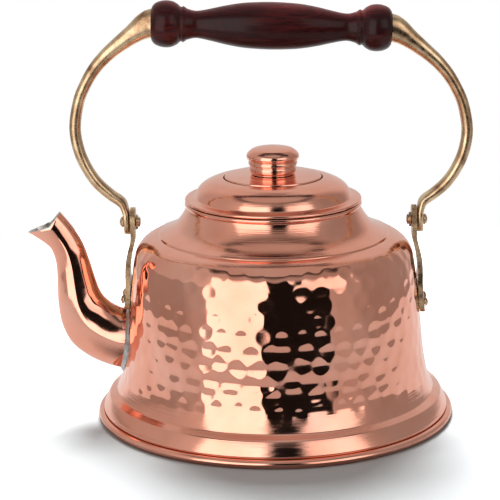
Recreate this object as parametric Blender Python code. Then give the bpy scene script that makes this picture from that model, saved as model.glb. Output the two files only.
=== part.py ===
"""A hammered copper kettle with a lift-off lid, a wooden grip and a swinging brass bail.

Frame: the origin is the middle of the flat underside, +Z is up, the spout points along -X, and the
bail swings about an axis along X. Lengths below are in millimetres and become metres in the meshes.
"""

import math

import bmesh
import bpy
from mathutils import Matrix, Vector

MM = 0.001
GAP = 0.3  # play between two pieces that touch

# Kettle
BASE_RADIUS = 90.0  # outside of the rolled rim
ROLL_RADIUS = 2.2
WALL = 1.0  # copper sheet
BODY_SIDES = 48
NECK_BEAD = (42.9, 108.9)  # centre of the bead round the mouth
NECK_BEAD_RADIUS = 1.2

# Lid
LID_SHEET = 0.9
LID_TOP = 123.5  # the flat under the knob
LID_DISC = (24.6, 122.6)  # edge of the raised disc round the knob
LID_SIDES = 36
SKIRT_RADIUS = 40.9
SKIRT_BOTTOM = 101.0
KNOB_SIDES = 22
SCREW_RADIUS = 1.6

# Bail
PIVOT_Z = 99.4
PIVOT_PIN_RADIUS = 1.9
EAR_RADIUS = 6.2
EAR_X = 73.3  # middle plane of the bail's ear
EAR_THICKNESS = 3.0
GRIP_Z = PIVOT_Z + 97.8
GRIP_HALF = 58.5
ROD_RADIUS = 2.5
ROD_HALF = 63.5
BAIL_LEAN = 0.03  # turn of the grip against the line of the pivots, as the arms are bent by hand

# Lugs that carry the bail
LUG_THICKNESS = 2.4
LUG_EAR_X = 69.0  # inner face of the lug's ear
LUG_EAR_RADIUS = 7.4
LUG_FOOT_Z = {"left": 56.2, "right": 53.4}  # the left one stands on the spout's solder
LUG_RIVET_RISE = 4.6  # from the lug's foot
LUG_RIVET_SPREAD = 6.0
RIVET_RADIUS = 1.3
RIVET_HEAD_RADIUS = 2.3


def clear_scene():
    for obj in list(bpy.data.objects):
        bpy.data.objects.remove(obj, do_unlink=True)


def metal(name, colour, roughness, metallic=1.0):
    material = bpy.data.materials.new(name)
    material.use_nodes = True
    shader = material.node_tree.nodes["Principled BSDF"]
    shader.inputs["Base Color"].default_value = (*colour, 1.0)
    shader.inputs["Roughness"].default_value = roughness
    shader.inputs["Metallic"].default_value = metallic
    material.diffuse_color = (*colour, 1.0)
    return material


def smooth(points, steps):
    """A Catmull-Rom curve through the points, with this many steps on each span."""
    points = [Vector(p) for p in points]
    ends = [2 * points[0] - points[1], *points, 2 * points[-1] - points[-2]]
    curve = []
    for a, b, c, d in zip(ends, ends[1:], ends[2:], ends[3:]):
        for step in range(steps):
            t = step / steps
            curve.append(
                0.5 * (2 * b + (c - a) * t + (2 * a - 5 * b + 4 * c - d) * t**2 + (3 * b - a - 3 * c + d) * t**3)
            )
    return [tuple(p) for p in curve] + [tuple(points[-1])]


def arc(centre, radius, start, end, steps):
    """Points on a circle from one angle to another, in degrees."""
    angles = [math.radians(start + (end - start) * i / steps) for i in range(steps + 1)]
    return [(centre[0] + radius * math.cos(a), centre[1] + radius * math.sin(a)) for a in angles]


def offset(line, distance):
    """The line moved to its left by a distance."""
    moved = []
    for i, (x, z) in enumerate(line):
        ahead = line[min(i + 1, len(line) - 1)]
        behind = line[max(i - 1, 0)]
        along = Vector((ahead[0] - behind[0], ahead[1] - behind[1])).normalized()
        moved.append((x - along.y * distance, z + along.x * distance))
    return moved


def finish_mesh(bm, name, material, parent=None):
    """An object from a mesh in world millimetres, with its origin on its parent or at the world's."""
    origin = parent.location.copy() if parent else Vector()
    bmesh.ops.remove_doubles(bm, verts=bm.verts, dist=0.001)
    bmesh.ops.recalc_face_normals(bm, faces=bm.faces)
    bmesh.ops.transform(bm, matrix=Matrix.Translation(-origin) @ Matrix.Scale(MM, 4), verts=bm.verts)
    mesh = bpy.data.meshes.new(name)
    bm.to_mesh(mesh)
    bm.free()
    mesh.shade_smooth()
    mesh.set_sharp_from_angle(angle=math.radians(40))
    if material:
        mesh.materials.append(material)
    obj = bpy.data.objects.new(name, mesh)
    obj.parent = parent
    bpy.context.scene.collection.objects.link(obj)
    return obj


def pivot_empty(name, z):
    """The empty that a moving group hangs on."""
    empty = bpy.data.objects.new(name, None)
    empty.location = (0.0, 0.0, z * MM)
    bpy.context.scene.collection.objects.link(empty)
    return empty


def turned(name, outline, sides, material, parent=None, place=None):
    """A body turned about +Z from a closed outline of (radius, height), then placed by a matrix."""
    bm = bmesh.new()
    verts = [bm.verts.new((r, 0.0, z)) for r, z in outline]
    pairs = zip(verts, verts[1:] + verts[:1])
    edges = [bm.edges.new(pair) for pair in pairs if pair[0].co.x > 0 or pair[1].co.x > 0]
    bmesh.ops.spin(bm, geom=verts + edges, cent=(0, 0, 0), axis=(0, 0, 1), angle=math.tau, steps=sides)
    bmesh.ops.remove_doubles(bm, verts=bm.verts, dist=0.001)
    if place:
        bmesh.ops.transform(bm, matrix=place, verts=bm.verts)
    return finish_mesh(bm, name, material, parent)


def lofted(name, rings, material, ring_loop=False, parent=None):
    """A body through rings of points: capped at both ends, or with its last ring joined to its first."""
    bm = bmesh.new()
    rings = [[bm.verts.new(p) for p in ring] for ring in rings]
    following = rings[1:] + rings[:1] if ring_loop else rings[1:]
    for ring, nearby in zip(rings, following):
        for i in range(len(ring)):
            bm.faces.new((ring[i - 1], ring[i], nearby[i], nearby[i - 1]))
    if not ring_loop:
        bm.faces.new(rings[0])
        bm.faces.new(rings[-1])
    return finish_mesh(bm, name, material, parent)


def boolean(obj, tool, operation="DIFFERENCE"):
    tool.hide_render = True
    tool.display_type = "WIRE"
    modifier = obj.modifiers.new(tool.name, "BOOLEAN")
    modifier.object = tool
    modifier.operation = operation


def along_x(z, lean=0.0):
    """The matrix that lays +Z along X at this height, dipping by the lean."""
    return Matrix.Translation((0, 0, z)) @ Matrix.Rotation(math.pi / 2 + lean, 4, "Y")


def cylinder_x(name, radius, x_from, x_to, z, lean=0.0):
    """A cutter along X, at this height."""
    outline = [(0, x_from), (radius, x_from), (radius, x_to), (0, x_to)]
    return turned(name, outline, 20, None, place=along_x(z, lean))


# --- Kettle body -------------------------------------------------------------------------------


def body_outside():
    """The outside of the body from its foot up to its mouth, as (radius, height)."""
    foot = [(85.2, WALL + GAP), (85.2, 2.4), (85.5, 3.4), (86.6, 4.4), (87.0, 5.4), (85.7, 8.6), (83.7, 12.1)]
    ledge = [(82.9, 12.9), (80.2, 14.9)]
    wall = smooth([(79.2, 15.9), (77.4, 21.0), (75.1, 35.0), (72.3, 65.0), (70.4, 80.0)], 2)
    shoulder = smooth([(69.6, 83.6), (67.2, 88.4), (63.0, 91.5), (58.4, 93.2)], 2)
    step = [(57.5, 94.1)]
    neck = smooth([(56.2, 94.7), (51.6, 96.3), (47.7, 99.9), (44.4, 104.8), (43.3, 107.4)], 2)
    return foot + ledge + wall + shoulder + step + neck


def wall_radius(z):
    """The body's outer radius at a height between its ledge and its shoulder."""
    outside = body_outside()
    for (r0, z0), (r1, z1) in zip(outside, outside[1:]):
        if z0 <= z <= z1:
            return r0 + (r1 - r0) * (z - z0) / (z1 - z0)
    raise ValueError(z)


def body_solid(name, growth):
    """The body as a full solid, grown outwards, to trim what is fitted to it."""
    outside = offset(body_outside(), -growth)
    return turned(name, [(0, 0), *outside, (0, outside[-1][1])], BODY_SIDES, None)


def make_body_shell(copper):
    outside = body_outside()
    bead = arc(NECK_BEAD, NECK_BEAD_RADIUS, -60, 240, 8)
    inside = offset(outside, WALL)[::-1]
    # Every second point is enough inside, which only has to hold its volume.
    inside = [inside[0], *inside[1:-1:2], (inside[-1][0], WALL + GAP)]
    return turned("body_shell", outside + bead + inside, BODY_SIDES, copper)


def make_bottom_plate(copper):
    """A flat disc whose edge is rolled up round the foot."""
    roll = (BASE_RADIUS - ROLL_RADIUS, ROLL_RADIUS)
    meets_plate = 180 + math.degrees(math.asin((ROLL_RADIUS - WALL) / ROLL_RADIUS))
    outline = [(0, 0), *arc(roll, ROLL_RADIUS, -90, meets_plate, 9), (0, WALL)]
    return turned("bottom_plate", outline, BODY_SIDES, copper)


# --- Spout -------------------------------------------------------------------------------------

# Each section: its outer edge and its inner edge in the XZ plane, and half its width in Y.
SPOUT_SECTIONS = (
    ((-62.0, 23.5), (-62.0, 54.6), 13.5),
    ((-75.3, 23.3), (-75.3, 54.6), 13.0),
    ((-84.5, 25.3), (-79.8, 56.2), 12.2),
    ((-94.5, 30.0), (-83.6, 58.8), 11.2),
    ((-102.8, 37.0), (-86.6, 62.0), 10.0),
    ((-107.4, 46.5), (-88.4, 65.5), 9.0),
    ((-109.1, 57.0), (-89.6, 69.2), 8.2),
    ((-109.3, 67.5), (-91.0, 74.0), 7.4),
    ((-109.4, 77.0), (-93.0, 81.0), 6.7),
    ((-110.8, 83.6), (-96.0, 89.5), 6.2),
    ((-113.6, 88.0), (-100.9, 97.7), 5.8),
)
SPOUT_TIP = (-123.0, 94.7)
SPOUT_NOTCH = (-111.4, 98.0)
SPOUT_PEAK = (-106.7, 105.0)
SPOUT_SIDES = 18


def spout_ring(outer, inner, half_width, growth):
    """An ellipse between the outer and the inner edge, grown by a distance."""
    outer, inner = Vector((outer[0], 0, outer[1])), Vector((inner[0], 0, inner[1]))
    middle = (outer + inner) / 2
    reach = (outer - inner) / 2
    depth = reach.length + growth
    ring = []
    for i in range(SPOUT_SIDES):
        turn = math.tau * i / SPOUT_SIDES
        side = Vector((0, (half_width + growth) * math.sin(turn), 0))
        ring.append(middle + reach.normalized() * depth * math.cos(turn) + side)
    return ring


def mouth_ring(growth):
    """The cut mouth: a pouring lip at the tip, a notch at each side and a peak at the back."""
    tip, notch, peak = (Vector((x, 0, z)) for x, z in (SPOUT_TIP, SPOUT_NOTCH, SPOUT_PEAK))
    middle = (tip + notch + peak) / 3
    ring = []
    for i in range(SPOUT_SIDES):
        turn = math.tau * i / SPOUT_SIDES
        lip, back = max(math.cos(turn), 0), max(-math.cos(turn), 0)
        point = notch + (tip - notch) * lip + (peak - notch) * back
        point += (point - middle).normalized() * growth
        side = (5.9 - 2.2 * lip**2 + growth) * math.sin(turn)
        ring.append(point + Vector((0, side, 0)))
    return ring


def spout_rings(growth, first=0, last=None):
    return [spout_ring(*section, growth) for section in SPOUT_SECTIONS[first:last]]


def make_spout(copper, body_skin):
    outside = [*spout_rings(0), mouth_ring(0)]
    inside = [*spout_rings(-WALL), mouth_ring(-WALL)]
    spout = lofted("spout", outside + inside[::-1], copper, ring_loop=True)
    boolean(spout, body_skin)
    return spout


def make_spout_collar(solder, body_skin):
    """The bead of solder that joins the spout to the body."""
    rings = spout_rings(1.3, last=4) + spout_rings(GAP, last=4)[::-1]
    collar = lofted("spout_collar", rings, solder, ring_loop=True)
    boolean(collar, body_skin)
    boolean(collar, body_solid("collar_face", 1.5), "INTERSECT")
    return collar


# --- Lugs and rivets ---------------------------------------------------------------------------


def rivet_outline(radius, grip, head, tail):
    """A rivet along +Z: its shank runs from 0 to grip, its domed head above, its flat tail below."""
    head_radius, head_height = head
    tail_radius, tail_height = tail
    dome = [(head_radius * math.cos(a), grip + head_height * math.sin(a)) for a in (0, 0.55, 1.05)]
    return [
        (0, -tail_height),
        (tail_radius - 0.4, -tail_height),
        (tail_radius, -tail_height / 2),
        (tail_radius, 0),
        (radius, 0),
        (radius, grip),
        *dome,
        (0, grip + head_height),
    ]


def facing(point, direction):
    """The matrix that stands a body on +Z at a point, along a direction."""
    return Matrix.Translation(point) @ Vector(direction).to_track_quat("Z", "Y").to_matrix().to_4x4()


def lug_rivet_place(side, row, z, depth):
    """Where a lug's rivet starts: this deep under the body's skin, square to the wall."""
    radius = wall_radius(z)
    turn = math.asin(LUG_RIVET_SPREAD / radius) * row
    lean = math.atan2(wall_radius(z - 5) - wall_radius(z + 5), 10)
    outwards = Vector((side * math.cos(turn), math.sin(turn), math.tan(lean))).normalized()
    skin = Vector((side * radius * math.cos(turn), radius * math.sin(turn), z))
    return facing(skin - outwards * depth, outwards)


def lug_profile(foot):
    """The lug's inner face from its foot to the top of its ear, as (x, z, half width, bend)."""
    levels = ((foot, 7.5), (foot + 1.0, 9.2), (foot + 3.0, 10.3), (63.0, 10.3))
    pad = [(wall_radius(z) + GAP, z, half_width, 1.0) for z, half_width in levels]
    rise = [(72.4, 68.0, 8.2, 0.8), (72.2, 75.0, 6.4, 0.4), (71.6, 80.5, 6.0, 0.1), (70.5, 85.5, 6.0, 0.0)]
    ear = [(69.3, 90.0, 6.3, 0.0), (LUG_EAR_X, 93.5, 6.9, 0.0), (LUG_EAR_X, PIVOT_Z, LUG_EAR_RADIUS, 0.0)]
    crown = [
        (LUG_EAR_X, PIVOT_Z + LUG_EAR_RADIUS * math.sin(a), LUG_EAR_RADIUS * math.cos(a), 0.0)
        for a in map(math.radians, (25, 50, 70, 84))
    ]
    return pad + rise + ear + crown


def lug_ring(x, z, half_width, bend):
    """One level of the lug: its inner face, bent round the body, then its outer face."""
    across = [half_width * step / 4 for step in range(-4, 5)]
    dip = [bend * (x - math.sqrt(x**2 - y**2)) for y in across]
    inner = [Vector((x - d, y, z)) for y, d in zip(across, dip)]
    outer = [Vector((x - d + LUG_THICKNESS, y, z)) for y, d in zip(across, dip)]
    return inner + outer[::-1]


def make_lug(side_name, side, brass, cutters):
    rings = [lug_ring(*level) for level in lug_profile(LUG_FOOT_Z[side_name])]
    lug = lofted(f"bail_lug_{side_name}", rings, brass)
    if side < 0:
        lug.rotation_euler.z = math.pi
    for cutter in cutters:
        boolean(lug, cutter)
    return lug


def make_lug_rivets(side_name, side, brass):
    """Two rivets with their tails inside the body. Returns the cutters for their holes."""
    grip = WALL + LUG_THICKNESS + 4 * GAP
    outline = rivet_outline(RIVET_RADIUS, grip, (RIVET_HEAD_RADIUS, 1.6), (2.2, 0.9))
    hole = [(0, -6), (RIVET_RADIUS + GAP, -6), (RIVET_RADIUS + GAP, 9), (0, 9)]
    cutters = []
    for row_name, row in (("front", -1), ("back", 1)):
        place = lug_rivet_place(side, row, LUG_FOOT_Z[side_name] + LUG_RIVET_RISE, WALL + 2 * GAP)
        turned(f"lug_rivet_{side_name}_{row_name}", outline, 14, brass, place=place)
        cutters.append(turned(f"lug_hole_{side_name}_{row_name}", hole, 14, None, place=place))
    return cutters


def make_pivot(side_name, side, brass):
    """The bail's rivet, head outside, and the washer under its tail. Returns the hole's cutter."""
    washer = 1.0
    tail_x = LUG_EAR_X - washer - 2 * GAP
    grip = EAR_X + EAR_THICKNESS / 2 + GAP - tail_x
    outline = rivet_outline(PIVOT_PIN_RADIUS, grip, (2.9, 1.7), (2.7, 0.9))
    place = facing((side * tail_x, 0, PIVOT_Z), (side, 0, 0))
    turned(f"pivot_rivet_{side_name}", outline, 16, brass, place=place)
    bore = PIVOT_PIN_RADIUS + GAP
    ring = [(bore, GAP), (3.7, GAP), (3.7, GAP + washer), (bore, GAP + washer)]
    turned(f"pivot_washer_{side_name}", ring, 16, brass, place=place)
    hole = [(0, -2), (bore, -2), (bore, grip + 3), (0, grip + 3)]
    return turned(f"pivot_hole_{side_name}", hole, 16, None, place=place)


# --- Bail --------------------------------------------------------------------------------------


def arm_stations():
    """The arm from the grip down to its ear: x, height over the pivot, half thickness, half width."""
    top = GRIP_Z - PIVOT_Z
    bow = [
        (GRIP_HALF + GAP, top, 7.2, 6.0),
        (62.5, top - 1.6, 6.2, 5.7),
        (67.5, top - 5.0, 4.8, 5.1),
        (74.5, top - 10.3, 3.9, 4.5),
        (81.0, top - 15.8, 3.4, 4.1),
        (86.8, top - 22.4, 3.1, 3.9),
        (91.5, top - 30.2, 2.9, 3.9),
        (94.9, top - 38.5, 2.85, 3.9),
        (97.0, top - 51.0, 2.85, 3.9),
        (95.3, top - 62.5, 2.85, 3.9),
        (91.2, top - 72.0, 2.8, 3.9),
        (86.4, top - 78.8, 2.8, 4.1),
        (80.2, top - 84.4, 2.7, 4.6),
        (75.7, top - 87.8, 2.3, 5.3),
        (73.8, top - 91.0, 1.8, 5.9),
    ]
    half = EAR_THICKNESS / 2
    ear = [(EAR_X, 4.0, half, EAR_RADIUS), (EAR_X, 0.0, half, EAR_RADIUS)]
    round_end = [
        (EAR_X, -EAR_RADIUS * math.sin(a), half, EAR_RADIUS * math.cos(a))
        for a in map(math.radians, (25, 48, 68, 83))
    ]
    return bow + ear + round_end


def rounded_section(half_thickness, half_width, sides=12):
    """A rectangle with generous round corners, as (across the thickness, along Y)."""
    section = []
    for i in range(sides):
        turn = math.tau * (i + 0.5) / sides
        c, s = math.cos(turn), math.sin(turn)
        u = math.copysign(abs(c) ** 0.6, c)
        v = math.copysign(abs(s) ** 0.6, s)
        section.append((half_thickness * u, half_width * v))
    return section


def leaning(x, y, z):
    """The point turned with the grip. The turn dies out down to the pivots."""
    turn = BAIL_LEAN * max(0.0, (z - PIVOT_Z) / (GRIP_Z - PIVOT_Z))
    return Vector((x + turn * (z - GRIP_Z), y, z - turn * x))


def arm_rings(side):
    stations = arm_stations()
    rings = []
    for i, (x, z, half_thickness, half_width) in enumerate(stations):
        ahead = stations[min(i + 1, len(stations) - 1)]
        behind = stations[max(i - 1, 0)]
        along = Vector((ahead[0] - behind[0], 0, ahead[1] - behind[1])).normalized()
        if i == 0:
            along = Vector((1, 0, 0))
        elif x == EAR_X:
            along = Vector((0, 0, -1))
        across = Vector((along.z, 0, -along.x))
        middle = Vector((x, 0, PIVOT_Z + z))
        section = rounded_section(half_thickness, half_width)
        points = [middle + across * u + Vector((0, v, 0)) for u, v in section]
        rings.append([leaning(side * point.x, point.y, point.z) for point in points])
    return rings


def make_arm(name, side, brass, pivot, cutters):
    arm = lofted(name, arm_rings(side), brass, parent=pivot)
    for cutter in cutters:
        boolean(arm, cutter)
    return arm


def make_grip(wood, pivot):
    """A turned grip: a barrel between two necks, and a ball with a bead at each end."""
    barrel = smooth([(11.6, 0.0), (10.9, 14.0), (7.9, 29.5), (6.65, 36.8), (7.6, 41.3)], 2)
    bead = [(8.7, 43.3), (8.4, 44.4)]
    ball = smooth([(9.6, 46.0), (11.4, 51.2), (8.2, GRIP_HALF)], 3)
    half = barrel + bead + ball
    bore = ROD_RADIUS + GAP
    outline = [(bore, -GRIP_HALF), *[(r, -x) for r, x in half[:0:-1]], *half, (bore, GRIP_HALF)]
    return turned("grip", outline, 20, wood, pivot, along_x(GRIP_Z, BAIL_LEAN))


def make_grip_rod(steel, pivot):
    outline = [(0, -ROD_HALF), (ROD_RADIUS, -ROD_HALF), (ROD_RADIUS, ROD_HALF), (0, ROD_HALF)]
    return turned("grip_rod", outline, 16, steel, pivot, along_x(GRIP_Z, BAIL_LEAN))


# --- Lid ---------------------------------------------------------------------------------------


def make_lid_cover(copper, seat):
    """A domed cover with a raised disc under the knob and a hemmed flange that rests on the neck."""
    edge, height = LID_DISC
    disc = [(SCREW_RADIUS + 0.5, LID_TOP), (12.0, LID_TOP), (edge - 0.9, height), (edge, height - 0.6)]
    dome = smooth([(edge + 0.9, 121.8), (29.5, 120.9), (34.3, 118.9), (37.6, 115.2), (38.5, 112.6)], 2)
    flange = [(39.3, 111.7), (42.6, 111.8)]
    hem = arc((43.2, 111.1), 0.7, 80, -90, 4)
    top = disc + dome + flange
    under = offset([(r, z) for r, z in top if r < 42], -LID_SHEET)[::-1]
    under[-1] = (under[-1][0], LID_TOP - LID_SHEET)
    return turned("lid_cover", top + hem + [(42.0, 110.4), *under], LID_SIDES, copper, seat)


def make_lid_skirt(copper, seat):
    """The sleeve under the flange that keeps the lid centred in the neck."""
    inner = SKIRT_RADIUS - LID_SHEET
    outline = [
        (SKIRT_RADIUS, 110.0),
        (inner, 110.0),
        (inner, SKIRT_BOTTOM + 1.5),
        (inner - 0.7, SKIRT_BOTTOM),
        (SKIRT_RADIUS - 0.7, SKIRT_BOTTOM),
        (SKIRT_RADIUS, SKIRT_BOTTOM + 1.5),
    ]
    return turned("lid_skirt", outline, LID_SIDES, copper, seat)


def make_lid_knob(copper, seat):
    """A hollow spun knob with a threaded post inside for the screw."""
    foot = LID_TOP + GAP
    barrel = [(10.9, foot), (10.9, foot + 0.5), (11.6, foot + 1.2), (11.6, foot + 3.4), (11.2, foot + 4.0)]
    rings = [(12.1, 128.5), (12.1, 129.8), (11.8, 130.5)]
    cap = smooth([(12.8, 131.3), (13.1, 132.7), (12.3, 134.4), (9.4, 136.5), (5.0, 137.1)], 2)
    outside = barrel + rings + cap
    inside = [(4.6, 135.9), (8.6, 135.4), (11.4, 133.0), (10.3, 129.5), (9.8, foot)]
    post = [(3.4, foot), (3.4, 135.9)]
    bore = [(SCREW_RADIUS + GAP, foot), (SCREW_RADIUS + GAP, 133.0), (0, 133.0)]
    outline = bore[::-1] + post + inside + outside + [(0, 137.3)]
    return turned("lid_knob", outline, KNOB_SIDES, copper, seat)


def make_knob_screw(steel, brass, seat):
    """The screw that holds the knob from under the lid, and its washer."""
    washer_top = LID_TOP - LID_SHEET - GAP
    washer_under = washer_top - 0.8
    bore = SCREW_RADIUS + GAP
    ring = [(bore, washer_under), (5.2, washer_under), (5.2, washer_top), (bore, washer_top)]
    turned("knob_washer", ring, 20, brass, seat)
    head_top = washer_under - GAP
    head = [(0, head_top - 2.1), (2.4, head_top - 2.0), (3.6, head_top - 0.9), (3.6, head_top)]
    shank = [(SCREW_RADIUS, head_top), (SCREW_RADIUS, 131.4), (SCREW_RADIUS - 0.6, 132.0), (0, 132.0)]
    turned("knob_screw", head + shank, 16, steel, seat)


def main():
    clear_scene()
    copper = metal("copper", (0.80, 0.42, 0.30), 0.12)
    tinned_copper = metal("tinned_copper", (0.78, 0.45, 0.34), 0.2)
    brass = metal("brass", (0.72, 0.56, 0.30), 0.25)
    solder = metal("solder", (0.72, 0.70, 0.66), 0.3)
    steel = metal("steel", (0.60, 0.60, 0.62), 0.3)
    wood = metal("lacquered_wood", (0.10, 0.010, 0.010), 0.2, metallic=0.0)

    body_skin = body_solid("body_skin", GAP)
    body = make_body_shell(copper)
    make_bottom_plate(copper)
    make_spout(copper, body_skin)
    make_spout_collar(solder, body_skin)
    boolean(body, lofted("spout_bore", spout_rings(-WALL, last=3), None))

    bail_pivot = pivot_empty("bail_pivot", PIVOT_Z)
    for side_name, side in (("left", -1), ("right", 1)):
        rivet_holes = make_lug_rivets(side_name, side, brass)
        pivot_hole = make_pivot(side_name, side, brass)
        make_lug(side_name, side, brass, [*rivet_holes, pivot_hole])
        for hole in rivet_holes:
            boolean(body, hole)
        reach = sorted((side * (GRIP_HALF - 1), side * (ROD_HALF + 0.5)))
        rod_hole = cylinder_x(f"rod_hole_{side_name}", ROD_RADIUS + GAP, *reach, GRIP_Z, BAIL_LEAN)
        make_arm(f"bail_arm_{side_name}", side, brass, bail_pivot, [pivot_hole, rod_hole])
    make_grip(wood, bail_pivot)
    make_grip_rod(steel, bail_pivot)

    lid_seat = pivot_empty("lid_seat", NECK_BEAD[1] + NECK_BEAD_RADIUS)
    make_lid_cover(copper, lid_seat)
    make_lid_skirt(tinned_copper, lid_seat)
    make_lid_knob(copper, lid_seat)
    make_knob_screw(steel, brass, lid_seat)


main()
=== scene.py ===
import math

import bmesh
import bpy
import numpy as np
from mathutils import Matrix, Vector


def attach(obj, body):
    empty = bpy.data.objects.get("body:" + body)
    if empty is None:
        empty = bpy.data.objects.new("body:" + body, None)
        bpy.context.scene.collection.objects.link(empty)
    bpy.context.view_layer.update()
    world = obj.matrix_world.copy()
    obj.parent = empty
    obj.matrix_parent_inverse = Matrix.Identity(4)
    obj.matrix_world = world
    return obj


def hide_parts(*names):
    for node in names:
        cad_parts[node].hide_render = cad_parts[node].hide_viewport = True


# The looks of a hammered copper kettle: fine spun, hammered, cast and turned surfaces that stand in for
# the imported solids. Lengths are in millimetres until a mesh is made, and in metres for the camera and
# the lamp. The spout points along -X and the camera looks along +Y.

MM = 0.001
SIDES = {"left": -1, "right": 1}

# Kettle
WALL = 1.0
BODY_SIDES = 600
WALL_STEP = 0.75  # between the rings of the hammered wall
CREASE_Z = 4.5  # where the foot band comes out of the rolled rim
BEAD_STEPS = 14

# Hammering: rows of shallow bowls, with least and greatest sizes
HAMMER_ROWS = 10
HAMMER_COLUMNS = 48
FIRST_ROW = 2.6  # from the lower end of the hammered wall
LAST_ROW = 3.9  # from its upper end
ROW_SCATTER = 0.9
COLUMN_SCATTER = 0.12  # in parts of a column
BOWL_RADIUS = (3.5, 4.5)
BOWL_DEPTH = (0.14, 0.30)
TOP_ROW_DEEPER = 0.06

# Bail
PIVOT_Z = 99.4
GRIP_Z = PIVOT_Z + 97.8
GRIP_HALF = 58.5
BAIL_LEAN = 0.03
EAR_X = 73.3
LUG_THICKNESS = 2.4
LUG_EAR_X = 69.0
LUG_EAR_RADIUS = 7.4
LUG_FOOT_Z = {"left": 56.2, "right": 53.4}
ARM_EAR_RADIUS = 6.2
EAR_TURNS = np.radians((0, 20, 38, 54, 68, 80, 87))  # places round an ear's end

# Rivets: radius and height of the head and of the tail, and the shank's radius
STRAP_RIVET = ((2.35, 1.6), (2.2, 0.9), 1.3)
EAR_RIVET = ((2.9, 1.8), (2.7, 0.9), 1.9)
RIVET_SIDES = 28
STRAP_RIVET_RISE = 4.6  # from the end of the strap's foot
STRAP_RIVET_ASIDE = 6.0  # from the strap's middle
STRAP_RIVET_GRIP = 4.5
STRAP_RIVET_SUNK = 1.6  # the tail's place inside the wall's skin

# Camera: one metre in front of the kettle's axis
CAMERA_DISTANCE = 1.0
CAMERA_HEIGHT = 0.337
CAMERA_LENS = 147.9
CAMERA_PAN = -0.0119
CAMERA_PITCH = 0.2475
CAMERA_ROLL = 0.013

# Table top
FLOOR_RADIUS = 420
FLOOR_Z = -0.01
FLOOR_SEEN = (0.42, 0.44, 0.45)
FLOOR_MIRRORED = (0.21, 0.21, 0.21)


# --- Geometry ----------------------------------------------------------------------------------


def smooth(points, steps):
    """A Catmull-Rom curve through points, or through whole rings of points."""
    p = np.asarray(points, float)
    p = np.concatenate([2 * p[:1] - p[1:2], p, 2 * p[-1:] - p[-2:-1]])
    t = (np.arange(steps) / steps).reshape(-1, *[1] * (p.ndim - 1))
    spans = [
        0.5 * (2 * b + (c - a) * t + (2 * a - 5 * b + 4 * c - d) * t**2 + (3 * b - a - 3 * c + d) * t**3)
        for a, b, c, d in zip(p, p[1:], p[2:], p[3:])
    ]
    return np.concatenate([*spans, p[-2:-1]])


def arc(centre, radius, start, end, steps):
    """Points on a circle from one angle to another, in degrees."""
    turn = np.radians(np.linspace(start, end, steps + 1))
    return np.stack([centre[0] + radius * np.cos(turn), centre[1] + radius * np.sin(turn)], 1)


def squared_circle(turn, power):
    """Places round a ring: a circle at power 1, squarer below it and with keels above it."""
    cos, sin = np.cos(turn), np.sin(turn)
    return np.sign(cos) * np.abs(cos) ** power, np.sign(sin) * np.abs(sin) ** power


def filleted(corners, steps=6):
    """A line through (x, z, reach), each corner rounded off from this far before it to this far after."""
    corners = np.asarray(corners, float)
    line = [corners[:1, :2]]
    u = np.linspace(0, 1, steps)[:, None]
    for before, corner, after in zip(corners, corners[1:], corners[2:]):
        middle, reach = corner[:2], corner[2]
        first = middle + (before[:2] - middle) * reach / np.linalg.norm(before[:2] - middle)
        last = middle + (after[:2] - middle) * reach / np.linalg.norm(after[:2] - middle)
        line.append((1 - u) ** 2 * first + 2 * u * (1 - u) * middle + u**2 * last)
    return np.concatenate([*line, corners[-1:, :2]])


def joined(*lines):
    """One line through all the points of these."""
    return np.concatenate([np.asarray(line, float) for line in lines])


def distances(line):
    """How far along the line each of its points is."""
    return np.concatenate([[0], np.cumsum(np.linalg.norm(np.diff(line, axis=0), axis=1))])


def spaced(line, step):
    """The line cut into equal steps."""
    along = distances(line)
    places = np.linspace(0, along[-1], max(2, round(along[-1] / step) + 1))
    return np.stack([np.interp(places, along, line[:, i]) for i in range(2)], 1)


def normals(line):
    """Unit normals to the left of a line."""
    along = np.gradient(line, axis=0)
    along /= np.linalg.norm(along, axis=1, keepdims=True)
    return np.stack([-along[:, 1], along[:, 0]], 1)


def offset(line, distance):
    """The line moved sideways to its left."""
    return line + normals(line) * distance


def surface(name, grid, materials, ring_loop=False, capped=False, changes=(), sharp=35):
    """A mesh through rings of points. The next material starts at each ring of changes."""
    rings, sides = grid.shape[:2]
    index = np.arange(rings * sides).reshape(rings, sides)
    faces, slots = [], []
    for i in range(rings if ring_loop else rings - 1):
        near, far = index[i], index[(i + 1) % rings]
        faces += np.stack([near, far, np.roll(far, -1), np.roll(near, -1)], 1).tolist()
        slots += [sum(i >= change for change in changes)] * sides
    if capped:
        faces += [index[0].tolist(), index[-1][::-1].tolist()]
        slots += [0, 0]
    mesh = bpy.data.meshes.new(name)
    mesh.from_pydata((grid.reshape(-1, 3) * MM).tolist(), [], faces)
    mesh.polygons.foreach_set("material_index", slots)
    bm = bmesh.new()
    bm.from_mesh(mesh)
    bmesh.ops.remove_doubles(bm, verts=bm.verts, dist=1e-6)
    bmesh.ops.recalc_face_normals(bm, faces=bm.faces)
    bm.to_mesh(mesh)
    bm.free()
    mesh.shade_smooth()
    mesh.set_sharp_from_angle(angle=math.radians(sharp))
    for material in materials:
        mesh.materials.append(material)
    obj = bpy.data.objects.new(name, mesh)
    bpy.context.scene.collection.objects.link(obj)
    return obj


def revolved(outline, sides, place=None):
    """Rings about +Z from (radius, height), moved by a matrix in millimetres."""
    turn = np.linspace(0, math.tau, sides, endpoint=False)
    r, z = np.asarray(outline)[:, 0:1], np.asarray(outline)[:, 1:2]
    grid = np.stack([r * np.cos(turn), r * np.sin(turn), z + 0 * turn], 2)
    return moved(grid, place) if place else grid


def moved(grid, place):
    """Points moved by a matrix."""
    place = np.array(place)
    return grid @ place[:3, :3].T + place[:3, 3]


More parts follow.
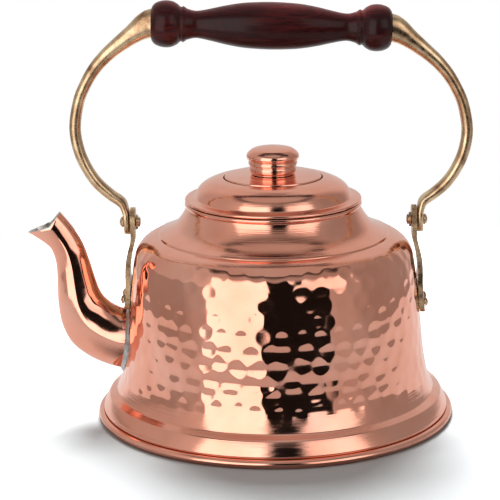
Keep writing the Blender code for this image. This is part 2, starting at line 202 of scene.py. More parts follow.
def facing(point, direction):
    """The matrix that stands +Z at a point, along a direction."""
    return Matrix.Translation(point) @ Vector(direction).to_track_quat("Z", "Y").to_matrix().to_4x4()


def soften(obj, width):
    """Rounds off a piece's edges."""
    bevel = obj.modifiers.new("edges", "BEVEL")
    bevel.width = width * MM
    bevel.segments = 3
    bevel.limit_method = "ANGLE"
    bevel.angle_limit = math.radians(50)


def put(obj, body, slot, *nodes):
    """The piece rides on its body in place of these solids."""
    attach(obj, body)
    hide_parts(*nodes)
    return obj


# --- Materials ---------------------------------------------------------------------------------


class Tree:
    """Short ways to add nodes to a material or to the world."""

    def __init__(self, node_tree):
        self.nodes = node_tree.nodes
        self.link = node_tree.links.new

    def add(self, kind, inputs=None, **settings):
        """A node with these settings, its inputs linked to a socket or set to a value."""
        node = self.nodes.new(kind)
        for key, value in settings.items():
            setattr(node, key, value)
        for key, value in (inputs or {}).items():
            if isinstance(value, bpy.types.NodeSocket):
                self.link(value, node.inputs[key])
            else:
                node.inputs[key].default_value = value
        return node

    def math(self, operation, *values):
        """The result of a Math node on sockets and numbers."""
        return self.add("ShaderNodeMath", dict(enumerate(values)), operation=operation).outputs[0]

    def blend(self, factor, first, second, how="MIX"):
        """From one colour to another. Mix nodes hold their colours in inputs 6 and 7 and in output 2."""
        inputs = {"Factor": factor, 6: first, 7: second}
        return self.add("ShaderNodeMix", inputs, data_type="RGBA", blend_type=how).outputs[2]

    def ramp(self, value, stops):
        """Colours, or plain numbers as greys, at places along the ramp."""
        node = self.add("ShaderNodeValToRGB", {"Fac": value})
        elements = node.color_ramp.elements
        while len(elements) < len(stops):
            elements.new(0.5)
        for element, (place, colour) in zip(elements, stops):
            element.position = place
            colour = (colour,) * 3 if isinstance(colour, (int, float)) else colour
            element.color = (*colour, 1)
        return node.outputs["Color"]


class Maker(Tree):
    """A material in the making."""

    def __init__(self, name, colour, roughness, metallic):
        self.material = bpy.data.materials.new(name)
        self.material.use_nodes = True
        super().__init__(self.material.node_tree)
        self.shader = self.nodes["Principled BSDF"]
        self.shader.inputs["Base Color"].default_value = (*colour, 1)
        self.shader.inputs["Roughness"].default_value = roughness
        self.shader.inputs["Metallic"].default_value = metallic
        self.bump_before = None

    def position(self, scale=(1, 1, 1)):
        """The place on the object in metres, stretched."""
        coordinate = self.add("ShaderNodeTexCoord").outputs["Object"]
        inputs = {"Vector": coordinate, "Scale": scale}
        return self.add("ShaderNodeMapping", inputs).outputs["Vector"]

    def turned_position(self, across, along, around):
        """Coordinates that change with the radius and the height, and hardly round the axis."""
        coordinate = self.add("ShaderNodeTexCoord").outputs["Object"]
        split = self.add("ShaderNodeSeparateXYZ", {"Vector": coordinate}).outputs
        flat = self.add("ShaderNodeCombineXYZ", {"X": split["X"], "Y": split["Y"]}).outputs["Vector"]
        radius = self.add("ShaderNodeVectorMath", {0: flat}, operation="LENGTH").outputs["Value"]
        radius = self.math("MULTIPLY", radius, across)
        height = self.math("MULTIPLY", split["Z"], along)
        turn = self.math("ARCTAN2", split["Y"], split["X"])
        turn = self.math("MULTIPLY", turn, around)
        return self.add("ShaderNodeCombineXYZ", {"X": radius, "Y": turn, "Z": height}).outputs["Vector"]

    def noise(self, vector, scale, detail=3.0, rough=0.5, distortion=0.0):
        inputs = {"Vector": vector, "Scale": scale, "Detail": detail}
        inputs |= {"Roughness": rough, "Distortion": distortion}
        return self.add("ShaderNodeTexNoise", inputs).outputs["Fac"]

    def colour(self, value, stops):
        self.link(self.ramp(value, stops), self.shader.inputs["Base Color"])

    def roughness(self, value, low, high, start=0.3, end=0.7):
        self.link(self.ramp(value, [(start, low), (end, high)]), self.shader.inputs["Roughness"])

    def bump(self, height, depth):
        """Relief of this depth in millimetres, on top of any before it."""
        inputs = {"Height": height, "Distance": depth * MM, "Strength": 1.0}
        if self.bump_before:
            inputs["Normal"] = self.bump_before
        self.bump_before = self.add("ShaderNodeBump", inputs).outputs["Normal"]
        self.link(self.bump_before, self.shader.inputs["Normal"])


COPPER = (0.93, 0.44, 0.32)
COPPER_DEEP = (0.87, 0.38, 0.265)
COPPER_PALE = (0.95, 0.505, 0.39)
BRASS = (0.55, 0.375, 0.225)
BRASS_BROWN = (0.27, 0.155, 0.085)
BRASS_BRIGHT = (0.82, 0.63, 0.40)
WOOD_DARK = (0.010, 0.002, 0.002)
WOOD = (0.030, 0.003, 0.004)
WOOD_RED = (0.080, 0.008, 0.007)


def copper(name, spun=0.0, gloss=(0.035, 0.075)):
    """Polished copper. Spun pieces have fine lines round them."""
    m = Maker(name, COPPER, 0.06, 1.0)
    cloud = m.noise(m.position(), 38.0, detail=4.0)
    m.colour(cloud, [(0.30, COPPER_DEEP), (0.52, COPPER), (0.72, COPPER_PALE)])
    wiped = m.noise(m.position((1.0, 1.0, 2.5)), 120.0, detail=5.0, rough=0.6)
    m.roughness(wiped, *gloss)
    m.bump(m.noise(m.position(), 220.0, detail=2.0), 0.012)
    if spun:
        lines = m.noise(m.turned_position(3000.0, 3000.0, 0.6), 1.0, detail=2.0)
        m.bump(lines, spun)
    return m.material


def painted_crease_shade():
    """Painted shade: a dull dark brown laid into creases where they stand in shadow."""
    m = Maker("crease_shade_copper", (0.12, 0.045, 0.03), 0.45, 1.0)
    cloud = m.noise(m.position(), 200.0)
    m.colour(cloud, [(0.3, (0.07, 0.025, 0.018)), (0.7, (0.20, 0.075, 0.05))])
    m.roughness(cloud, 0.4, 0.6)
    return m.material


def tin(name="tin", low=(0.55, 0.53, 0.50), high=(0.83, 0.82, 0.80)):
    """Wiped tin or solder, dull and uneven."""
    m = Maker(name, high, 0.28, 1.0)
    wiped = m.noise(m.position(), 240.0, detail=4.0, distortion=0.6)
    m.colour(wiped, [(0.3, low), (0.7, high)])
    m.roughness(wiped, 0.2, 0.42)
    m.bump(wiped, 0.06)
    return m.material


def brass(name, wear=0.0):
    """Cast and filed brass, brown where it isn't rubbed. Wear brightens it."""
    m = Maker(name, (0.62, 0.44, 0.25), 0.25, 1.0)
    cloud = m.noise(m.position(), 110.0, detail=5.0, rough=0.6)
    m.colour(cloud, [(0.36 - wear, BRASS_BROWN), (0.50 - wear, BRASS), (0.68 - wear, BRASS_BRIGHT)])
    m.roughness(m.noise(m.position(), 300.0, detail=4.0), 0.2, 0.36)
    m.bump(cloud, 0.08)
    m.bump(m.noise(m.position(), 600.0, detail=2.0), 0.012)
    return m.material


def steel():
    """Plain steel with its grain along the rod."""
    m = Maker("plain_steel", (0.58, 0.58, 0.60), 0.3, 1.0)
    grain = m.noise(m.position((4.0, 4.0, 1.0)), 400.0, detail=3.0)
    m.colour(grain, [(0.3, (0.45, 0.45, 0.47)), (0.7, (0.66, 0.66, 0.68))])
    m.roughness(grain, 0.25, 0.4)
    return m.material


def lacquered_wood():
    """Dark red stained wood with its grain along the grip, under gloss lacquer."""
    m = Maker("lacquered_wood", (0.06, 0.006, 0.006), 0.35, 0.0)
    m.shader.inputs["Specular IOR Level"].default_value = 0.12
    m.shader.inputs["Coat Weight"].default_value = 0.3
    m.shader.inputs["Coat Roughness"].default_value = 0.16
    m.shader.inputs["Coat IOR"].default_value = 1.4
    grain = m.noise(m.position((0.06, 1.0, 1.0)), 900.0, detail=5.0, rough=0.65, distortion=0.3)
    stain = m.noise(m.position((0.5, 1.0, 1.0)), 60.0, detail=3.0)
    m.colour(m.math("MULTIPLY", grain, stain), [(0.12, WOOD_DARK), (0.27, WOOD), (0.46, WOOD_RED)])
    m.roughness(grain, 0.3, 0.5)
    m.bump(grain, 0.015)
    return m.material


# --- Kettle body -------------------------------------------------------------------------------


def foot_line():
    """From the body's seat in the rolled rim up over the foot band and its ledge."""
    return filleted(
        [
            (85.2, 1.3, 0),
            (85.2, 3.2, 0.4),
            (87.0, 4.4, 0.3),
            (87.35, 5.3, 0.5),
            (86.1, 8.6, 2.2),
            (84.0, 12.3, 0.6),
            (80.1, 14.2, 0.6),
            (79.0, 16.6, 1.2),
            (77.4, 21.0, 0),
        ]
    )


def wall_line():
    """The hammered wall and the turn into the shoulder."""
    return smooth(
        [
            (77.4, 21.0),
            (76.4, 26.0),
            (75.1, 35.0),
            (73.7, 50.0),
            (72.3, 65.0),
            (70.8, 77.0),
            (69.9, 82.5),
            (68.8, 85.7),
            (67.2, 88.2),
            (65.2, 90.1),
        ],
        6,
    )


def neck_line():
    """The smooth shoulder, its small step, the neck and the bead round the mouth."""
    shoulder = smooth([(65.2, 90.1), (63.0, 91.4), (60.5, 92.4), (58.3, 93.0)], 5)
    step = filleted([(58.3, 93.0, 0), (57.6, 93.1, 0.3), (57.2, 93.9, 0.35), (55.6, 94.6, 0)])
    neck = smooth(
        [
            (55.6, 94.6),
            (52.6, 96.0),
            (49.8, 97.8),
            (47.6, 100.1),
            (45.5, 103.0),
            (43.9, 105.9),
            (43.3, 107.5),
        ],
        5,
    )
    bead = arc((42.9, 108.9), 1.2, -65, 240, BEAD_STEPS)
    return joined(shoulder[1:], step[1:], neck[1:], bead)


def hammered(along, radius):
    """How deep the hammer has gone at each place along the wall and round it, in millimetres."""
    rng = np.random.default_rng(11)
    turn = np.linspace(0, math.tau, BODY_SIDES, endpoint=False)
    depth = np.zeros((len(along), BODY_SIDES))
    pitch = (along[-1] - FIRST_ROW - LAST_ROW) / (HAMMER_ROWS - 1)
    for row in range(HAMMER_ROWS):
        first = rng.uniform()
        deeper = TOP_ROW_DEEPER if row == HAMMER_ROWS - 1 else 0.0
        for column in range(HAMMER_COLUMNS):
            centre = FIRST_ROW + row * pitch + rng.normal(0, ROW_SCATTER)
            bearing = math.tau * (column + first + rng.normal(0, COLUMN_SCATTER)) / HAMMER_COLUMNS
            reach = rng.uniform(*BOWL_RADIUS)
            blow = rng.uniform(*BOWL_DEPTH) + deeper
            near = np.abs(along - centre) < reach
            apart = (turn - bearing + math.pi) % math.tau - math.pi
            squared = (along[near, None] - centre) ** 2 + (apart[None, :] * radius[near, None]) ** 2
            depth[near] = np.maximum(depth[near], blow * (1 - squared / reach**2))
    soft = (np.roll(depth, -1, 1) + 2 * depth + np.roll(depth, 1, 1)) / 4
    soft[1:-1] = (soft[:-2] + 2 * soft[1:-1] + soft[2:]) / 4
    return soft


def make_body(hammered_material, spun_material, crease_shading, inside):
    """One sheet: up the outside, over the bead and down the inside, with the wall hammered in."""
    foot, wall, neck = foot_line(), spaced(wall_line(), WALL_STEP), neck_line()
    outside = joined(foot[:-1], wall, neck)
    inner = offset(outside[: -BEAD_STEPS - 1], WALL)[::-3]
    grid = revolved(joined(outside, inner, [(84.2, 1.3)]), BODY_SIDES)

    depth = hammered(distances(wall), wall[:, 0])
    turn = np.linspace(0, math.tau, BODY_SIDES, endpoint=False)
    out = -normals(wall)
    rows = slice(len(foot) - 1, len(foot) - 1 + len(wall))
    grid[rows, :, 0] -= depth * out[:, 0:1] * np.cos(turn)
    grid[rows, :, 1] -= depth * out[:, 0:1] * np.sin(turn)
    grid[rows, :, 2] -= depth * out[:, 1:2]

    crease = int(np.argmax(foot[:, 1] > CREASE_Z))
    bead_top, bead_inside = len(outside) - 9, len(outside) - 4
    # Painted shade: the seat in the rolled rim and the top of the bead take the dark crease colour.
    materials = [crease_shading, spun_material, hammered_material, spun_material, crease_shading, inside]
    changes = (crease, rows.start, rows.stop, bead_top, bead_inside)
    body = surface("kettle_body", grid, materials, ring_loop=True, changes=changes, sharp=50)
    return put(body, "kettle", "copper", "body_shell")


def make_bottom(material):
    """The underside: a disc with two shallow turned rings, rolled up round the foot."""
    roll = arc((87.8, 2.2), 2.2, -90, 205, 22)
    under = [(0, 0.25), (30, 0.25), (31, 0.45), (33, 0.45), (34, 0.2), (70, 0.1), (80, 0.0)]
    outline = joined(under, roll, [(84.8, 1.0), (0, 1.2)])
    disc = surface("bottom_disc", revolved(outline, 256), [material], ring_loop=True)
    return put(disc, "kettle", "copper", "bottom_plate")


# --- Spout -------------------------------------------------------------------------------------

# Outer and inner edge as (x, z), and half width, from the root to the neck of the mouth
SPOUT_SECTIONS = (
    ((-66.0, 23.5), (-66.0, 54.6), 13.5),
    ((-75.3, 23.3), (-75.3, 54.6), 13.0),
    ((-84.5, 25.3), (-79.8, 56.2), 12.2),
    ((-94.5, 30.0), (-83.6, 58.8), 11.2),
    ((-102.8, 37.0), (-86.6, 62.0), 10.0),
    ((-107.4, 46.5), (-88.4, 65.5), 9.0),
    ((-109.1, 57.0), (-89.6, 69.2), 8.2),
    ((-109.3, 67.5), (-91.0, 74.0), 7.4),
    ((-109.4, 77.0), (-93.0, 81.0), 6.7),
    ((-110.8, 83.6), (-96.0, 89.5), 6.2),
    ((-113.6, 88.0), (-100.9, 97.7), 5.8),
)
SPOUT_TIP = (-123.0, 94.7)
SPOUT_NOTCH = (-111.4, 98.0)
SPOUT_PEAK = (-106.7, 105.0)
SPOUT_RING = np.linspace(0, math.tau, 72, endpoint=False)
SPOUT_STEPS = 6  # rings from one section to the next
SPOUT_ROOT = 1  # the section that meets the wall
SPOUT_CLEAR_X = -76.5  # rings beyond this are clear of the wall
SPOUT_KEEL = 1.12  # above 1, the sides are flatter and meet along a soft keel


def spout_ring(outer, inner, half_width, growth):
    """One ring of the spout, grown or shrunk by the same amount all round."""
    outer, inner = np.array([outer[0], 0, outer[1]]), np.array([inner[0], 0, inner[1]])
    reach = (outer - inner) / 2
    depth = np.linalg.norm(reach)
    across, aside = squared_circle(SPOUT_RING, SPOUT_KEEL)
    ring = (outer + inner) / 2 + np.outer(across, reach * (depth + growth) / depth)
    ring[:, 1] += (half_width + growth) * aside
    return ring


def mouth_ring(growth):
    """The slanting mouth: a pointed lip, a notch on each side and a raised back."""
    tip, notch, peak = (np.array([x, 0, z]) for x, z in (SPOUT_TIP, SPOUT_NOTCH, SPOUT_PEAK))
    lip, back = np.maximum(np.cos(SPOUT_RING), 0)[:, None], np.maximum(-np.cos(SPOUT_RING), 0)[:, None]
    ring = notch + (tip - notch) * lip + (peak - notch) * back
    away = ring - (tip + notch + peak) / 3
    ring = ring + away / np.linalg.norm(away, axis=1, keepdims=True) * growth
    ring[:, 1] += (5.9 - 2.2 * lip[:, 0] ** 2 + growth) * np.sin(SPOUT_RING)
    return ring


def wall_radius(z):
    """The body's radius at a height."""
    wall = wall_line()
    return np.interp(z, wall[:, 1], wall[:, 0])


def onto_body(ring, rise=0.0):
    """The ring's points moved along X onto the body's wall."""
    ring = ring.copy()
    ring[:, 0] = -np.sqrt((wall_radius(ring[:, 2]) + rise) ** 2 - ring[:, 1] ** 2)
    return ring


def spout_rings(growth, rise):
    """The spout's rings from the wall to the mouth."""
    sections = [spout_ring(*section, growth) for section in SPOUT_SECTIONS]
    rings = smooth(sections + [mouth_ring(growth)], SPOUT_STEPS)[SPOUT_ROOT * SPOUT_STEPS :]
    clear = [ring for ring in rings if ring[:, 0].max() < SPOUT_CLEAR_X]
    return np.array([onto_body(rings[0], rise), *clear])


def make_spout(material, inside):
    """A tube with a rounded lip, tinned inside."""
    outer, inner = spout_rings(0, 0.1), spout_rings(-WALL, -0.6)
    lip = (outer[-1] + inner[-1]) / 2 + [0, 0, 0.25]
    grid = np.concatenate([outer, lip[None], inner[::-1]])
    changes = [len(outer) - 1]
    spout = surface("swan_spout", grid, [material, inside], ring_loop=True, changes=changes, sharp=60)
    return put(spout, "kettle", "copper", "spout")


def make_collar(material):
    """A wiped bead of solder where the spout meets the wall, a little uneven."""
    ripple = 0.12 * np.sin(5 * SPOUT_RING + 1) + 0.08 * np.sin(11 * SPOUT_RING)
    root = SPOUT_SECTIONS[SPOUT_ROOT]
    middle = spout_ring(*root, 0.0)
    centre_z = (root[0][1] + root[1][1]) / 2
    grow = np.stack([np.zeros_like(SPOUT_RING), middle[:, 1], middle[:, 2] - centre_z], 1)
    grow /= np.linalg.norm(grow, axis=1, keepdims=True)
    profile = ((-0.6, 0.0), (-0.5, 1.9), (0.1, 1.6), (0.8, 1.0), (1.5, 0.45), (1.9, 0.0), (1.0, -0.5))
    rings = [onto_body(middle + grow * (spread + ripple)[:, None], rise) for spread, rise in profile]
    collar = surface("spout_solder", np.array(rings), [material], ring_loop=True)
    return put(collar, "kettle", "solder", "spout_collar")


# --- Lugs and rivets ---------------------------------------------------------------------------


def lug_profile(foot):
    """The lug's inner face from its foot up: x, z, half width and how far it bends round the body."""
    foot_shape = ((foot, 7.5), (foot + 1, 9.2), (foot + 3, 10.3), (63, 10.3))
    pad = [(wall_radius(z) + 0.25, z, half_width, 1.0) for z, half_width in foot_shape]
    rise = [(72.4, 68.0, 8.2, 0.8), (72.2, 75.0, 6.4, 0.4), (71.6, 80.5, 6.0, 0.1), (70.5, 85.5, 6.0, 0.0)]
    ear = [(69.3, 90.0, 6.3, 0.0), (LUG_EAR_X, 93.5, 6.9, 0.0), (LUG_EAR_X, PIVOT_Z, LUG_EAR_RADIUS, 0.0)]
    crown = [
        (LUG_EAR_X, PIVOT_Z + LUG_EAR_RADIUS * math.sin(turn), LUG_EAR_RADIUS * math.cos(turn), 0.0)
        for turn in EAR_TURNS[1:]
    ]
    return joined(smooth(pad + rise + ear, 3), crown)


def make_lug(name, side, material):
    """A strap that lies against the wall, then stands up as an ear."""
    across = np.linspace(-1, 1, 13)
    rings = []
    for x, z, half_width, bend in lug_profile(LUG_FOOT_Z[name]):
        y = across * half_width
        dip = bend * (x - np.sqrt(x**2 - y**2))
        inner = np.stack([x - dip, y, z + 0 * y], 1)
        rings.append(np.concatenate([inner, (inner + [LUG_THICKNESS, 0, 0])[::-1]]))
    grid = np.array(rings) * [side, side, 1]
    lug = surface(f"lug_strap_{name}", grid, [material], capped=True)
    soften(lug, 0.45)
    return put(lug, "kettle", "brass", f"bail_lug_{name}")


def rivet(name, place, grip, sizes, material, node):
    """A domed head at the end of the grip, and a flattened tail behind it."""
    (head_radius, head_height), (tail_radius, tail_height), shank = sizes
    end = [
        (0, -tail_height),
        (tail_radius * 0.6, -tail_height),
        (tail_radius * 0.95, -tail_height * 0.5),
        (tail_radius, 0),
    ]
    edge = [(shank, 0), (shank, grip), (head_radius - 0.15, grip), (head_radius, grip + 0.15)]
    dome = [
        (head_radius * math.cos(turn), grip + head_height * math.sin(turn))
        for turn in np.linspace(0.12, math.pi / 2, 9)
    ]
    grid = revolved(end + edge + dome, RIVET_SIDES, place)
    return put(surface(name, grid, [material], sharp=50), "kettle", "brass", node)


def make_lug_rivets(name, side, material):
    """Two rivets side by side through the strap's foot, square to the wall."""
    z = LUG_FOOT_Z[name] + STRAP_RIVET_RISE
    radius = wall_radius(z)
    for row_name, row in (("front", -1), ("back", 1)):
        turn = math.asin(STRAP_RIVET_ASIDE / radius) * row
        lean = math.atan2(wall_radius(z - 5) - wall_radius(z + 5), 10)
        outwards = Vector((side * math.cos(turn), math.sin(turn), math.tan(lean))).normalized()
        skin = Vector((side * radius * math.cos(turn), radius * math.sin(turn), z))
        place = facing(skin - outwards * STRAP_RIVET_SUNK, outwards)
        node = f"lug_rivet_{name}_{row_name}"
        rivet(f"strap_rivet_{name}_{row_name}", place, STRAP_RIVET_GRIP, STRAP_RIVET, material, node)


def make_pivot(name, side, material):
    """The rivet that the bail turns on, and the washer under its tail."""
    tail_x = LUG_EAR_X - 1.6
    place = facing((side * tail_x, 0, PIVOT_Z), (side, 0, 0))
    grip = EAR_X + 1.8 - tail_x
    rivet(f"ear_rivet_{name}", place, grip, EAR_RIVET, material, f"pivot_rivet_{name}")
    ring = filleted([(2.2, 0.3, 0), (3.7, 0.3, 0.3), (3.7, 1.3, 0.3), (2.2, 1.3, 0)], 4)
    washer = surface(f"ear_washer_{name}", revolved(ring, RIVET_SIDES, place), [material], ring_loop=True)
    put(washer, "kettle", "brass", f"pivot_washer_{name}")


# --- Bail --------------------------------------------------------------------------------------


def arm_stations():
    """The arm from the grip down to its ear: x, height over the pivot, half thickness, half width."""
    top = GRIP_Z - PIVOT_Z
    bow = [
        (GRIP_HALF + 0.3, top, 7.2, 6.0),
        (62.5, top - 1.6, 6.2, 5.6),
        (67.5, top - 5.0, 4.8, 4.8),
        (74.5, top - 10.3, 3.9, 4.2),
        (81.0, top - 15.8, 3.4, 3.9),
        (86.8, top - 22.4, 3.1, 3.7),
        (91.5, top - 30.2, 2.9, 3.6),
        (94.9, top - 38.5, 2.85, 3.6),
        (97.0, top - 51.0, 2.85, 3.6),
        (95.3, top - 62.5, 2.85, 3.6),
        (91.2, top - 72.0, 2.8, 3.7),
        (86.4, top - 78.8, 2.8, 3.9),
        (80.4, top - 84.2, 2.7, 4.3),
        (76.9, top - 86.6, 2.6, 4.7),
        (75.0, top - 88.4, 2.3, 5.2),
        (74.1, top - 90.4, 1.9, 5.6),
        (EAR_X, 4.2, 1.55, ARM_EAR_RADIUS),
    ]
    ear = [
        (EAR_X, -ARM_EAR_RADIUS * math.sin(turn), 1.5, ARM_EAR_RADIUS * math.cos(turn))
        for turn in EAR_TURNS
    ]
    return smooth(bow, 4), np.array(ear)


def leaning(grid):
    """Points turned with the grip. The turn dies out down to the pivots."""
    x, y, z = np.moveaxis(grid, -1, 0)
    turn = BAIL_LEAN * np.maximum(0, (z - PIVOT_Z) / (GRIP_Z - PIVOT_Z))
    return np.stack([x + turn * (z - GRIP_Z), y, z - turn * x], -1)


def make_arm(name, side, material):
    """A cast rod that swells into the grip and is flattened into an ear."""
    bow, ear = arm_stations()
    stations = joined(bow, ear)
    along = np.gradient(bow[:, :2], axis=0)
    along = joined(along, [(0, -1)] * len(ear))
    along[0] = (1, 0)
    along /= np.linalg.norm(along, axis=1, keepdims=True)
    turn = np.linspace(0, math.tau, 32, endpoint=False)
    powers = np.interp(stations[:, 1], [4.2, 12], [0.45, 0.9])  # square at the ear, nearly round above it
    rings = []
    for (x, z, half_thickness, half_width), (dx, dz), power in zip(stations, along, powers):
        out, aside = squared_circle(turn, power)
        out = out * half_thickness
        rings.append(np.stack([x + dz * out, half_width * aside, PIVOT_Z + z - dx * out], 1))
    grid = leaning(np.array(rings) * [side, side, 1])
    arm = surface(f"bow_{name}", grid, [material], capped=True, sharp=45)
    return put(arm, "bail", "brass", f"bail_arm_{name}")


def make_grip(material):
    """A turned barrel between two beads and balls, bored for the rod."""
    barrel = smooth(
        [
            (11.6, 0.0),
            (11.45, 6.0),
            (10.9, 14.0),
            (9.6, 22.0),
            (7.9, 29.5),
            (6.8, 35.0),
            (6.75, 38.0),
            (7.6, 41.3),
        ],
        6,
    )
    bead = filleted(
        [
            (7.6, 41.3, 0),
            (8.9, 43.1, 0.5),
            (8.3, 44.2, 0.35),
            (8.9, 45.0, 0.35),
            (9.8, 45.9, 0),
        ],
        5,
    )
    ball = smooth([(9.8, 45.9), (11.0, 48.2), (11.5, 51.2), (11.1, 54.4), (9.9, 57.1), (8.2, GRIP_HALF)], 6)
    half = joined(barrel[:-1], bead[:-1], ball)
    mirrored = half[:0:-1] * [1, -1]
    outline = joined([(2.8, -GRIP_HALF)], mirrored, half, [(2.8, GRIP_HALF)])
    place = Matrix.Translation((0, 0, GRIP_Z)) @ Matrix.Rotation(math.pi / 2 + BAIL_LEAN, 4, "Y")
    grip = surface("turned_grip", revolved(outline, 96, place), [material], ring_loop=True)
    return put(grip, "bail", "lacquered_wood", "grip")


# --- Lid ---------------------------------------------------------------------------------------


def make_lid(material, crease_shading, inside):
    """A flat disc, a groove round it, the dome and a flange with its edge turned under."""
    disc = filleted([(2.1, 123.5, 0), (12.0, 123.5, 2.0), (24.0, 122.6, 0.3), (24.2, 122.0, 0)])
    groove = filleted([(24.2, 121.9, 0), (24.4, 121.2, 0.1), (24.8, 121.8, 0)])
    dome = smooth(
        [
            (24.9, 121.9),
            (29.2, 121.1),
            (32.2, 120.0),
            (34.6, 118.8),
            (36.8, 117.0),
            (38.2, 114.9),
        ],
        6,
    )
    flange = filleted([(38.2, 114.9, 0), (39.1, 112.2, 0.9), (42.9, 111.8, 0.4), (43.3, 111.75, 0)])
    hem = arc((43.25, 111.0), 0.72, 80, -90, 8)
    top = joined(disc, groove, dome, flange[1:])
    under = offset(top[top[:, 0] < 41.5], -0.9)[::-1]
    outline = joined(top, hem, [(41.6, 110.5)], under, [(2.1, 122.6)])
    hem_end = len(top) + len(hem)
    changes = (len(disc), len(disc) + len(groove) - 1, hem_end - 3, hem_end)
    # Painted shade: the groove round the disc and the turned-under hem take the dark crease colour.
    materials = [material, crease_shading, material, crease_shading, inside]
    lid = surface("domed_lid", revolved(outline, 256), materials, ring_loop=True, changes=changes, sharp=50)
    return put(lid, "lid", "copper", "lid_cover")


def make_knob(material):
    """A foot ring, a waist ring and a mushroom cap."""
    foot = filleted(
        [
            (3.4, 123.9, 0),
            (10.9, 123.8, 0.1),
            (10.9, 124.4, 0.3),
            (11.6, 125.0, 0.4),
            (11.7, 127.3, 0.5),
            (11.2, 127.8, 0),
        ]
    )
    waist = filleted(
        [
            (11.2, 128.1, 0),
            (12.1, 128.5, 0.3),
            (12.15, 129.9, 0.4),
            (11.7, 130.4, 0.2),
            (11.9, 130.9, 0.1),
            (12.8, 131.3, 0),
        ]
    )
    cap = smooth(
        [
            (12.8, 131.4),
            (13.1, 132.5),
            (12.7, 133.8),
            (11.3, 135.2),
            (9.6, 136.2),
            (6.0, 136.9),
            (0.0, 137.3),
        ],
        6,
    )
    knob = surface("spun_knob", revolved(joined(foot, waist, cap), 128), [material], sharp=50)
    return put(knob, "lid", "copper", "lid_knob")


# --- Stage -------------------------------------------------------------------------------------


def make_camera():
    """A long lens a metre in front of the kettle, looking slightly down."""
    camera = bpy.data.objects.new("camera", bpy.data.cameras.new("camera"))
    camera.data.lens = CAMERA_LENS
    camera.data.sensor_width = 36.0
    ahead = Vector(
        (
            math.sin(CAMERA_PAN) * math.cos(CAMERA_PITCH),
            math.cos(CAMERA_PAN) * math.cos(CAMERA_PITCH),
            -math.sin(CAMERA_PITCH),
        )
    )
    level = ahead.to_track_quat("-Z", "Y").to_matrix().to_4x4()
    place = Matrix.Translation((0, -CAMERA_DISTANCE, CAMERA_HEIGHT))
    camera.matrix_world = place @ level @ Matrix.Rotation(-CAMERA_ROLL, 4, "Z")
    bpy.context.scene.collection.objects.link(camera)
    bpy.context.scene.camera = camera


def make_floor():
    """A round pale table top, lighter to the eye than in a reflection."""
    m = Maker("pale_table", FLOOR_SEEN, 0.9, 0.0)
    seen = m.add("ShaderNodeLightPath").outputs["Is Camera Ray"]
    m.colour(seen, [(0.0, FLOOR_MIRRORED), (1.0, FLOOR_SEEN)])
    m.shader.inputs["Specular IOR Level"].default_value = 0.0
    outline = [(0, FLOOR_Z), (FLOOR_RADIUS, FLOOR_Z)]
    surface("table_top", revolved(outline, 96), [m.material])


# The room's brightness by bearing, in degrees from the camera towards +X. Each layer takes over from the
# one below it between two heights, as the sine of the elevation: soft boxes beside a dark gap, the same
# with a narrower gap, grey walls, a dark edge and the ceiling.
STUDIO_LOW = (
    (-150, 0.34), (-130, 0.19), (-80, 0.18), (-58, 0.25), (-54, 0.30), (-52, 1.0), (-10, 1.0), (-9, 0.005),
    (42, 0.005), (43.5, 0.25), (62, 0.23), (85, 0.17), (130, 0.18), (150, 0.34),
)
STUDIO_MIDDLE = (
    (-150, 0.34), (-130, 0.26), (-80, 0.27), (-58, 0.34), (-54, 0.38), (-52, 1.0), (-6.5, 1.0), (-5, 0.005),
    (19, 0.005), (21, 0.60), (45, 0.80), (60, 0.75), (65, 0.22), (85, 0.17), (130, 0.18), (150, 0.34),
)
STUDIO_UPPER = (
    (-150, 0.34), (-130, 0.28), (-60, 0.28), (0, 0.20), (60, 0.20), (130, 0.20), (150, 0.34),
)
STUDIO_EDGE = ((-125, 0.26), (-100, 0.03), (100, 0.03), (125, 0.26))
STUDIO_CEILING = ((-180, 0.25), (180, 0.25))
STUDIO_LAYERS = (
    (0.07, 0.11, STUDIO_MIDDLE),
    (0.64, 0.74, STUDIO_UPPER),
    (0.80, 0.885, STUDIO_EDGE),
    (0.895, 0.92, STUDIO_CEILING),
)
STUDIO_TINT = (1.0, 0.94, 0.90)
STUDIO_STRENGTH = 2.0


def studio_light(tree):
    """The room as the kettle mirrors it, from the table up."""
    direction = tree.add("ShaderNodeTexCoord").outputs["Generated"]
    split = tree.add("ShaderNodeSeparateXYZ", {"Vector": direction}).outputs
    forward = tree.math("MULTIPLY", split["Y"], -1.0)
    angle = tree.math("ARCTAN2", split["X"], forward)
    bearing = tree.math("MULTIPLY_ADD", angle, 1 / math.tau, 0.5)

    def round_about(stops):
        return tree.ramp(bearing, [((degrees + 180) / 360, grey) for degrees, grey in stops])

    room = round_about(STUDIO_LOW)
    for start, end, stops in STUDIO_LAYERS:
        above = tree.ramp(split["Z"], [(start, 0.0), (end, 1.0)])
        room = tree.blend(above, room, round_about(stops))
    tinted = tree.blend(1.0, room, (*STUDIO_TINT, 1), how="MULTIPLY")
    return tree.add("ShaderNodeBackground", {"Color": tinted, "Strength": STUDIO_STRENGTH}).outputs[0]


def make_studio():
    """The room round the kettle, with a plain white backdrop to the eye."""
    world = bpy.data.worlds.new("studio")
    world.use_nodes = True
    world.node_tree.nodes.clear()
    bpy.context.scene.world = world
    tree = Tree(world.node_tree)
    backdrop = tree.add("ShaderNodeBackground", {"Color": (1, 1, 1, 1)}).outputs[0]
    seen = tree.add("ShaderNodeLightPath").outputs["Is Camera Ray"]
    chosen = tree.add("ShaderNodeMixShader", {"Fac": seen, 1: studio_light(tree), 2: backdrop}).outputs[0]
    tree.add("ShaderNodeOutputWorld", {"Surface": chosen})


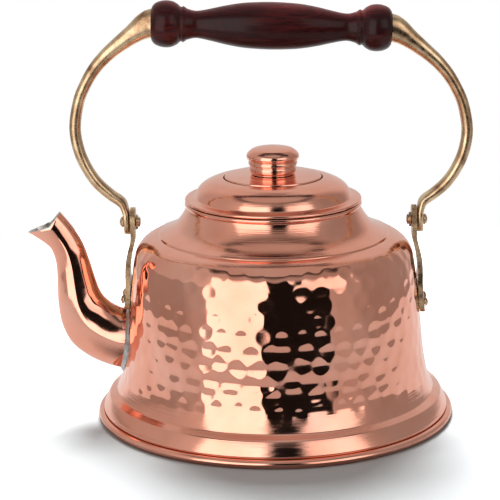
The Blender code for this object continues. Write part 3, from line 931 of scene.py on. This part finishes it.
def make_lamp():
    """A soft light over and behind the kettle, for the wood and for the shadow on the table top."""
    data = bpy.data.lights.new("overhead", "AREA")
    data.shape = "DISK"
    data.size = 0.75
    data.energy = 66.0
    lamp = bpy.data.objects.new("overhead", data)
    place = (-0.08, 0.72, 0.98)
    lamp.matrix_world = facing(place, place)
    lamp.visible_glossy = False
    lamp.visible_camera = False
    bpy.context.scene.collection.objects.link(lamp)


def give_material(obj, material):
    """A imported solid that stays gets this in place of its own."""
    obj.data.materials.clear()
    obj.data.materials.append(material)


# --- The kettle --------------------------------------------------------------------------------

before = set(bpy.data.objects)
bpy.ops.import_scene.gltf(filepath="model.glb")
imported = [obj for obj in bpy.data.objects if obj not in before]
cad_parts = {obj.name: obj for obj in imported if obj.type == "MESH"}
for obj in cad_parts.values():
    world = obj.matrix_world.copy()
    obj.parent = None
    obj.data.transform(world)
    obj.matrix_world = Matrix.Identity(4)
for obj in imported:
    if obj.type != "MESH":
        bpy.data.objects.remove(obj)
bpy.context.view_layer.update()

make_camera()
make_floor()
make_studio()
make_lamp()
bpy.context.scene.view_settings.view_transform = "Standard"

spun_copper = copper("spun_copper", spun=0.05, gloss=(0.06, 0.12))
hammered_copper = copper("hammered_copper")
spout_copper = copper("spout_copper", gloss=(0.05, 0.11))
# The dark crease colour: painted shade for the creases of the body and the lid.
crease_shade_copper = painted_crease_shade()
tinned = tin()
solder = tin("solder", (0.34, 0.33, 0.32), (0.62, 0.61, 0.60))
bow_brass = brass("bow_brass", wear=0.05)
strap_brass = brass("strap_brass")
rivet_brass = brass("rivet_brass")
plain_steel = steel()
wood = lacquered_wood()

make_body(hammered_copper, spun_copper, crease_shade_copper, tinned)
make_bottom(spun_copper)
make_spout(spout_copper, tinned)
make_collar(solder)
for side_name, side in SIDES.items():
    make_lug(side_name, side, strap_brass)
    make_lug_rivets(side_name, side, rivet_brass)
    make_pivot(side_name, side, rivet_brass)
    make_arm(side_name, side, bow_brass)
make_grip(wood)
make_lid(spun_copper, crease_shade_copper, tinned)
make_knob(spun_copper)

kept_solids = {
    "lid_skirt": tinned,
    "knob_screw": plain_steel,
    "knob_washer": rivet_brass,
    "grip_rod": plain_steel,
}
for node, material in kept_solids.items():
    give_material(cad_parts[node], material)
